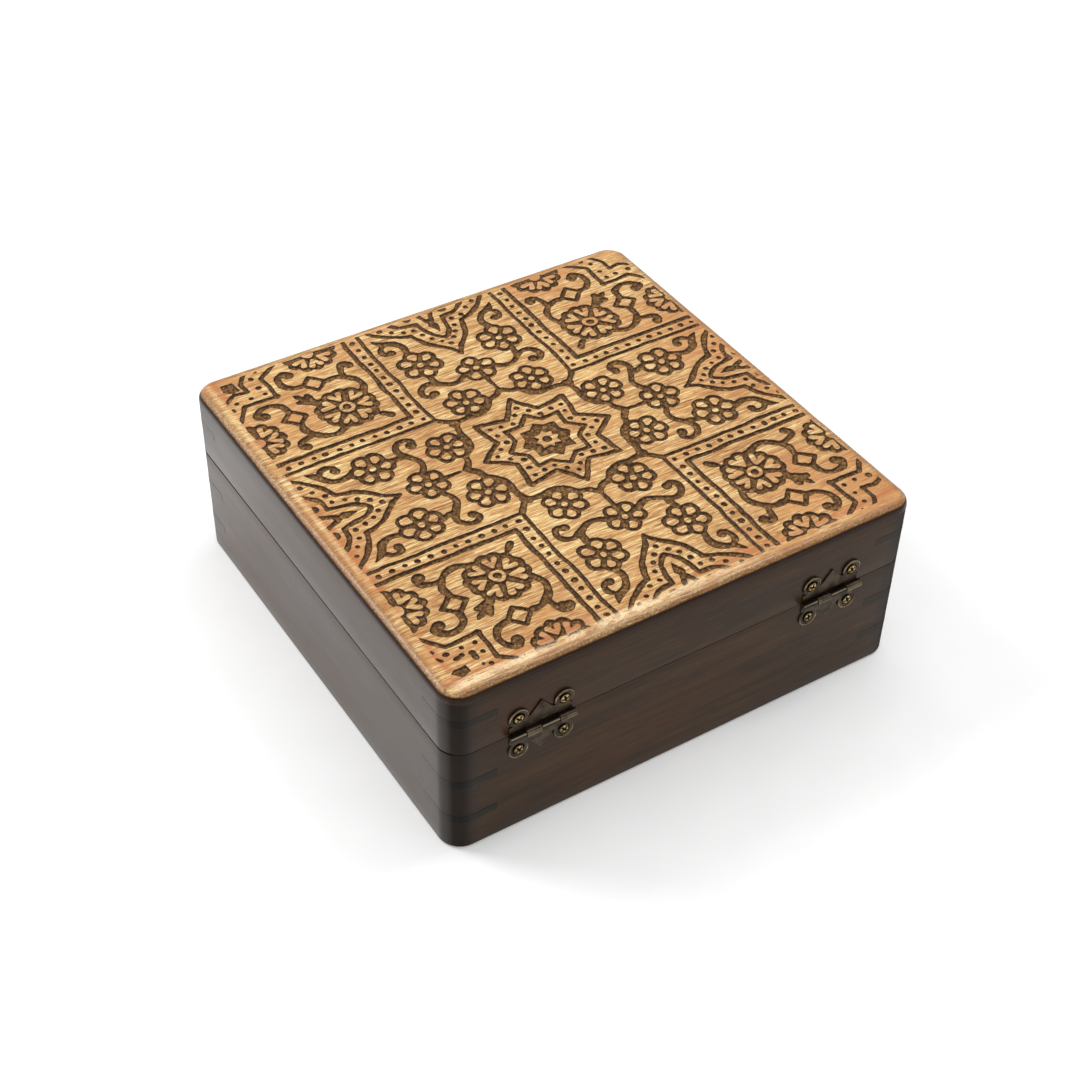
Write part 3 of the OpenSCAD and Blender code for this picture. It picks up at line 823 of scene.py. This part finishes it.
# -------- walls and keys
def wall_section(z0, z1, base, back):
    """A wall's cross-section: which face a point is on, how far in from it, and its height."""
    seam_soft = 0.15 if back else 0.6
    foot, head, inner = (1.0, 0.12, 0.5) if base else (seam_soft, 0.15, 0.4)
    quarter = np.linspace(0, math.pi / 2, 5)
    rows = int((z1 - z0) / 5)
    section = [("outer", foot * (1 - math.sin(a)), z0 + foot * (1 - math.cos(a))) for a in quarter]
    section += [("outer", 0.0, z) for z in np.linspace(z0 + foot, z1 - head, rows)[1:-1]]
    section += [("outer", head * (1 - math.cos(a)), z1 - head * (1 - math.sin(a))) for a in quarter]
    section += [("inner", inner * (1 - math.sin(a)), z1 - inner * (1 - math.cos(a)))
                for a in np.linspace(0, math.pi / 2, 4)]
    if base:
        return [*section, ("inner", 0.0, BOTTOM_T), ("middle", 0.0, BOTTOM_T), ("middle", 0.0, z0)]
    return [*section, ("inner", 0.0, z0 + inner), ("inner", inner, z0)]


def wall_stations():
    """Places from mitre to mitre: distance along the wall, and angle round its corner."""
    flat = HALF - CORNER_R
    return [*((-flat, -a) for a in np.linspace(math.pi / 4, 0, 9)),
            *((t, 0.0) for t in np.linspace(-flat, flat, 37)[1:-1]),
            *((flat, a) for a in np.linspace(0, math.pi / 4, 9))]


def build_wall(part, word, side, material):
    """One mitred wall with softened edges and slightly uneven faces; side counts quarter turns from +X."""
    base, back = part == "base", side == 1
    z0, z1 = HEIGHTS[part]
    if base and back:
        z1 += BACK_SEAM
    seam = z1 if base else z0
    section, stations = wall_section(z0, z1, base, back), wall_stations()
    turn = quarter_turn(side)
    seed = side * 7.3 + (0 if base else 40.0)
    verts = []
    for t, a in stations:
        n = unit(a)
        sign = math.copysign(1, t)
        outer = np.array((HALF - CORNER_R, t)) + CORNER_R * n
        at_mitre = abs(a) > 1e-6 or abs(t) > HALF - WALL
        inside = np.array((HALF - WALL, sign * (HALF - WALL) if at_mitre else t))
        middle = np.array((HALF - REBATE_D, sign * (HALF - REBATE_D) if abs(a) > 1e-6 else t))
        inward = (outer - inside) / np.linalg.norm(outer - inside)
        calm = max(0.0, math.cos(2 * a))  # no unevenness at the mitre, where walls meet
        for face, d, z in section:
            flow = SKIN * noise.noise(Vector((t * 0.02, z * 0.05, seed))) * calm
            lift = SKIN * noise.noise(Vector((t * 0.05, 0.5, seed))) * calm if abs(z - seam) < 0.6 else 0
            p = {"outer": outer - n * (d + SKIN + flow), "inner": inside + inward * d, "middle": middle}[face]
            verts.append((*(turn @ p), z + lift))
    m = len(section)
    faces = [(i * m + j, (i + 1) * m + j, (i + 1) * m + (j + 1) % m, i * m + (j + 1) % m)
             for i in range(len(stations) - 1) for j in range(m)]
    last = (len(stations) - 1) * m
    faces += [tuple(range(m)), tuple(last + j for j in reversed(range(m)))]
    node = f"{part}_{word}_wall"
    piece = new_piece(node + "_wood", verts, faces, part, material)
    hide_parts(node)


def key_outline(reach):
    """A flat triangle across the corner, its round tip flush with the wall's corner."""
    flat = HALF - CORNER_R
    jag = rng.uniform(-0.8, 0.8, 2)
    return [(HALF, HALF - reach + jag[0]),
            *((HALF, t) for t in np.linspace(HALF - reach + 2, flat, 4)),
            *((flat + CORNER_R * math.cos(a), flat + CORNER_R * math.sin(a))
              for a in np.linspace(0, math.pi / 2, 17)[1:-1]),
            *((t, HALF) for t in np.linspace(flat, HALF - reach + 2, 4)),
            (HALF - reach + jag[1], HALF)]


def build_keys(node, corner, body):
    """The keys let into one mitred corner, a hair proud of the faces: two in the base, one in the lid."""
    verts, faces = [], []
    low, high = (np.array(c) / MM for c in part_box(node))
    two = (low[2] + KEY_T / 2, high[2] - KEY_T / 2)
    turn = quarter_turn(corner)
    for z in two if body == "base" else ((low[2] + high[2]) / 2,):
        outline = key_outline(high[0] - low[0])
        start, n = len(verts), len(outline)
        for level in (z - KEY_T / 2, z + KEY_T / 2):
            verts += [(*(turn @ np.array(p)), level + rng.uniform(-0.08, 0.08)) for p in outline]
        faces += [(start + j, start + (j + 1) % n, start + n + (j + 1) % n, start + n + j) for j in range(n)]
        faces += [tuple(start + j for j in reversed(range(n))), tuple(start + n + j for j in range(n))]
    piece = new_piece(node + "_wood", verts, faces, body, mat_key)
    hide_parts(node)


# -------- hinges, mm
# across the hinge line u runs along it, w away from it and h out from the wall
LOBE_X, LOBE_W, LOBE_R = 9.2, 7.6, 4.0
LOBES = [np.array((e * LOBE_X, LOBE_W)) for e in (-1, 1)]
TIP_W, VALLEY = 11.6, (4.2, 6.6)
LEAF_HALF, LEAF_T = 12.75, 0.6
STRIP = (1.8, 4.2)
BARREL_R, PIN_R = 1.5, 0.85
KNUCKLES = (6.2, 5.9, 7.2, 6.8)  # widths from the +X end: base, lid, base, lid
KNUCKLE_GAP = 0.2
HOLE_R, HEAD_R, HEAD_H = 2.35, 1.8, 1.3
SLOT_REACH, SLOT_HALF = 1.4, 0.42
# stripes round a bar, mostly painted highlight and painted shade with some real rubbing: angle from the
# leaf's own side, wear
LID_LIGHT_STRIPES = ((0, 30, 55, 75, 100, 150, 180), (-0.5, 0.1, 0.6, 0.4, 0.55, 0.2, 0.3))
BASE_LIGHT_STRIPES = ((0, 40, 70, 112, 124, 140, 152, 180), (0.3, 0.35, -0.35, -0.35, 0.95, 0.8, -0.9, -1.0))
PIN_ROLL = ((0, 180), (0.3, 0.3))


def circle(centre, radius, count):
    a = np.linspace(0, 2 * math.pi, count, endpoint=False)
    return np.column_stack([centre[0] + radius * np.cos(a), centre[1] + radius * np.sin(a)])


class Solid:
    """Collects parts of one metal piece, then makes the mesh."""

    def __init__(self):
        self.verts, self.faces, self.wear = [], [], []

    def add(self, verts, faces, wear):
        n = len(self.verts)
        self.verts += [tuple(v) for v in verts]
        self.faces += [tuple(n + k for k in f) for f in faces]
        self.wear += list(wear)

    def plate(self, loops, spacing, inside, surface, place, foot, foot_wear):
        """A sheet whose top follows surface(points) inside its first loop, down to foot at the rim."""
        low, high = loops[0].min(0), loops[0].max(0)
        gx, gy = np.meshgrid(np.arange(low[0], high[0], spacing), np.arange(low[1], high[1], spacing * 0.87))
        gx = gx + (np.arange(gx.shape[0]) % 2)[:, None] * spacing / 2
        grid = np.column_stack([gx.ravel(), gy.ravel()])
        grid = grid[inside(grid) < -0.6 * spacing]
        for loop in loops[1:]:
            gap = grid[:, None] - loop[None]
            grid = grid[np.min(np.hypot(gap[..., 0], gap[..., 1]), axis=1) > 0.4 * spacing]
        flat, tris, lookup = triangulate(loops, grid, 1e-6)
        tris = np.array(tris)
        tris = tris[inside(flat[tris].mean(axis=1)) < 0]
        h, wear = surface(flat)
        rim = [lookup[k] for k in range(len(loops[0]))]
        n, m = len(flat), len(rim)
        verts = [place(u, w, x) for (u, w), x in zip(flat, h)]
        verts += [place(*flat[k], foot) for k in rim]
        faces = [tuple(t) for t in tris.tolist()]
        faces += [(rim[(k + 1) % m], rim[k], n + k, n + (k + 1) % m) for k in range(m)]
        self.add(verts, faces, list(wear) + [foot_wear] * m)

    def barrel(self, start, end, radius, out_by, place, roll, soft=0.14, count=72):
        """A round bar along the hinge line, with softened ends and wear in stripes, which mostly paint
        highlight and shade; the end caps are painted dark as shade in the gaps between knuckles.
        """
        rings = [(start, 0.02), (start, radius - soft), (start + soft, radius),
                 (end - soft, radius), (end, radius - soft), (end, 0.02)]
        turns = np.linspace(0, 2 * math.pi, count, endpoint=False)
        drawn = 1 + 0.018 * np.cos(9 * turns + 1.0)  # draw marks along the rolled sheet
        verts = [place(u, rad * k * math.cos(a), out_by + rad * k * math.sin(a))
                 for u, rad in rings for a, k in zip(turns, drawn)]
        faces = [(k * count + j, k * count + (j + 1) % count, (k + 1) * count + (j + 1) % count,
                  (k + 1) * count + j) for k in range(len(rings) - 1) for j in range(count)]
        light_stripe = np.interp(np.degrees(np.arccos(np.cos(turns))), *roll)
        # the end caps are painted dark as shade; the stripes paint highlights and shade round the bar
        shaded_ends, wear_and_painted_light = np.full(count, -0.6), np.maximum(0.5, light_stripe)
        self.add(verts, faces, np.concatenate([shaded_ends, wear_and_painted_light, light_stripe, light_stripe, wear_and_painted_light, shaded_ends]))

    def make(self, name, body, material, node):
        piece = new_piece(name, self.verts, self.faces, body, material, 40)
        add_attribute(piece, "wear", self.wear)
        mesh = bmesh.new()
        mesh.from_mesh(piece.data)
        bmesh.ops.recalc_face_normals(mesh, faces=mesh.faces)
        mesh.to_mesh(piece.data)
        mesh.free()
        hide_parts(node)


def knuckle_spans():
    """Start and end of each knuckle along the hinge line, from the +X end."""
    at = (sum(KNUCKLES) + KNUCKLE_GAP * (len(KNUCKLES) - 1)) / 2
    spans = []
    for width in KNUCKLES:
        spans.append((at - width, at))
        at -= width + KNUCKLE_GAP
    return spans


def leaf_relief(spans):
    """Outline of one leaf: a strip with tongues for its knuckles, two round lobes and a point."""
    r = Relief((-15, -3), (15, 14), 0.08)
    low, high = STRIP
    r.polygon([(-LEAF_HALF, low), (LEAF_HALF, low), (LEAF_HALF, high), (-LEAF_HALF, high)])
    for a, b in spans:
        a, b = max(a, -LEAF_HALF), min(b, LEAF_HALF)
        r.polygon([(a, -0.4), (b, -0.4), (b, low + 0.5), (a, low + 0.5)])
    for c in LOBES:
        r.disc(c, LOBE_R)
    r.polygon([(-LOBE_X, 3.7), (LOBE_X, 3.7), VALLEY, (0, TIP_W), (-VALLEY[0], VALLEY[1])])
    return r


def build_leaf(word, part, spans, place, out_by, seed):
    r = leaf_relief(spans)

    def inside(p):
        return sample(r, p)

    def surface(p):
        """A sheet with soft edges, a ridge round the far side of each lobe, and a countersink; its wear
        brightens the edges and ridges as worn metal and painted highlight, and paints the countersink black
        as shade.
        """
        s = inside(p)
        h = np.interp(-s, [0, 0.1, 0.3], [LEAF_T - 0.12, LEAF_T - 0.03, LEAF_T])
        wear = 0.45 * np.exp(-((s + 0.12) / 0.14) ** 2)
        for c in LOBES:
            rho = np.hypot(*(p - c).T)
            far_side = np.interp(p[:, 1], [LOBE_W - 1.8, LOBE_W + 1.2], [0.12, 1])
            ridge = far_side * np.exp(-((rho - 3.72) / 0.24) ** 2)
            h = h + 0.42 * ridge - 0.1 * np.interp(rho, [2.9, 3.3], [1, 0])
            # the ridge's brightness is mostly a painted highlight, with some wear
            wear = np.maximum(wear, ridge)
            h = np.where(rho < HOLE_R + 0.02, 0.1, h)
            # the countersink floor is painted black as shade
            wear = np.where(rho < HOLE_R + 0.2, -0.6, wear)
        dents = [noise.noise(Vector((q[0] * 0.35, q[1] * 0.35, seed))) for q in p]
        return h + 0.04 * np.array(dents), wear

    outline = max(contour_loops(r, 0.0, 0.35, 5), key=len)
    rings = [circle(c, rad, 40) for c in LOBES for rad in (HOLE_R, HOLE_R + 0.14)]
    leaf = Solid()
    # the sheet's edge down to its foot is painted dark: shade in the gap against the wall, with some patina
    leaf.plate([outline, *rings], 0.2, inside, surface, place, -0.25, -0.7)
    radius, roll = (BARREL_R, LID_LIGHT_STRIPES) if part == "lid" else (BARREL_R - 0.25, BASE_LIGHT_STRIPES)
    for a, b in spans:
        leaf.barrel(a, b, radius, out_by, place, roll)
    node = f"hinge_{word}_{part}_leaf"
    leaf.make(node + "_bronze", part, mat_bronze, node)


def screw_head(c, turn):
    """A domed head with a cross slot: its distance field and its surface. Its wear brightens the dome's top
    as worn brass and painted highlight, and paints its rim and the slot dark as shade.
    """
    arms = np.array(((math.cos(turn), math.sin(turn)), (-math.sin(turn), math.cos(turn))))

    def inside(p):
        return np.hypot(*(p - c).T) - HEAD_R

    def surface(p):
        q = p - c
        rho = np.hypot(*q.T)
        dome = HEAD_H - 0.5 + 0.5 * np.sqrt(np.clip(1 - (rho / (HEAD_R + 0.03)) ** 2, 0, 1))
        along = np.abs(q @ arms.T)
        arm_fields = [np.maximum(along[:, k] - SLOT_REACH, along[:, 1 - k] - SLOT_HALF) for k in (0, 1)]
        slot = np.minimum(*arm_fields)
        sunk = np.interp(-slot, [-0.05, 0.08], [0, 1])
        depth = 0.68 * np.interp(rho, [0, SLOT_REACH], [1, 0.6])
        wear_and_painted_light = np.interp(rho, [1.1, 1.5, 1.78], [0.75, 0.55, -0.4])
        # -1 paints the slot black as shade
        return dome - sunk * depth, np.where(sunk > 0.3, -1.0, wear_and_painted_light)

    return inside, surface


def build_screws(word, part, place):
    screws = Solid()
    for c in LOBES:
        c = c + rng.uniform(-0.15, 0.15, 2)
        inside, surface = screw_head(c, rng.uniform(0, math.pi / 2))
        # the head's foot is painted dark as shade under the dome
        screws.plate([circle(c, HEAD_R, 36)], 0.13, inside, surface, place, 0.0, -0.8)
    node = f"hinge_{word}_{part}_screws"
    screws.make(node + "_brass", part, mat_screw, node)


def build_hinge(word):
    low, high = (np.array(c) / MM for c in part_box(f"hinge_{word}_pin"))
    axis = (low + high) / 2
    out_by = axis[1] - HALF

    def placer(up):
        return lambda u, w, h: (axis[0] + u, HALF + h, axis[2] + up * w)

    for part, up, spans in (("lid", 1, knuckle_spans()[1::2]), ("base", -1, knuckle_spans()[0::2])):
        build_leaf(word, part, spans, placer(up), out_by, axis[0])
        build_screws(word, part, placer(up))
    pin = Solid()
    reach = (high[0] - low[0]) / 2 + 0.1
    pin.barrel(-reach, reach, PIN_R, out_by, placer(1), PIN_ROLL, soft=0.25, count=28)
    pin.make(f"hinge_{word}_pin_bronze", "base", mat_bronze, f"hinge_{word}_pin")


# -------- the box
build_top_board(mat_top)
for side, word in enumerate(("right", "back", "left", "front")):
    wood = mat_wood_y if side % 2 == 0 else mat_wood_x
    build_wall("base", word, side, wood)
    build_wall("lid", word, side, wood)
for corner, word in enumerate(("back_right", "back_left", "front_left", "front_right")):
    build_keys(f"base_keys_{word}", corner, "base")
    build_keys(f"lid_key_{word}", corner, "lid")
build_hinge("left")
build_hinge("right")
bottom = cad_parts["base_bottom_board"]
bottom.data.materials.clear()
bottom.data.materials.append(mat_floor_wood)


# -------- stage
def build_floor(half, cells):
    """A pale floor that gives off a little light, like a light table, to stay near white."""
    mesh = bpy.data.meshes.new("floor")
    places = [half * (2 * k / cells - 1) for k in range(cells + 1)]
    n = cells + 1
    faces = [(j * n + i, j * n + i + 1, (j + 1) * n + i + 1, (j + 1) * n + i)
             for j in range(cells) for i in range(cells)]
    mesh.from_pydata([(x, y, -0.0002) for y in places for x in places], [], faces)
    floor = bpy.data.objects.new("floor", mesh)
    bpy.context.scene.collection.objects.link(floor)
    m = Shader("floor_paper", Specular_IOR_Level=0.1, Emission_Color=grey(1.0), Emission_Strength=0.2)
    m.base(m.ramp(m.noise(60, 2), [(0.3, 0.9), (0.7, 0.92)]))
    m.rough(0.9)
    mesh.materials.append(m.material)


def area_light(name, at, size, power, aim=(0, 0, 0.04)):
    data = bpy.data.lights.new(name, "AREA")
    data.shape = "DISK"
    data.size = size
    data.energy = power
    lamp = bpy.data.objects.new(name, data)
    lamp.location = at
    lamp.rotation_euler = (Vector(aim) - Vector(at)).to_track_quat("-Z", "Y").to_euler()
    bpy.context.scene.collection.objects.link(lamp)


def build_camera():
    """Looks down at the hinge side's corner; azimuth 0 looks along +Y."""
    az, el, roll = math.radians(146.72), math.radians(41.72), math.radians(1.46)
    dist, target = 0.7286, Vector((0.00877, 0.01276, 0.040))
    back = Vector((math.sin(az) * math.cos(el), -math.cos(az) * math.cos(el), math.sin(el)))
    right = Vector((0, 0, 1)).cross(back).normalized()
    up = back.cross(right)
    c, s = math.cos(roll), math.sin(roll)
    data = bpy.data.cameras.new("camera")
    data.sensor_width = 36
    data.lens = 62.89
    data.clip_start, data.clip_end = 0.01, 20
    cam = bpy.data.objects.new("camera", data)
    axes = Matrix((c * right + s * up, c * up - s * right, back)).transposed()
    cam.matrix_world = Matrix.Translation(target + dist * back) @ axes.to_4x4()
    bpy.context.scene.collection.objects.link(cam)
    bpy.context.scene.camera = cam


build_floor(12.0, 24)
build_camera()
world = bpy.data.worlds.new("studio")
world.use_nodes = True
world.node_tree.nodes["Background"].inputs[0].default_value = grey(1.0)
world.node_tree.nodes["Background"].inputs[1].default_value = 0.55
bpy.context.scene.world = world
area_light("softbox", (-0.3, -0.2, 1.6), 1.5, 6.5)
area_light("spark", (-0.55, 0.13, 1.18), 0.28, 2.6)
area_light("key", (0.75, -0.85, 1.05), 0.6, 10, (0.1, 0, 0))
bpy.context.scene.view_settings.view_transform = "Standard"
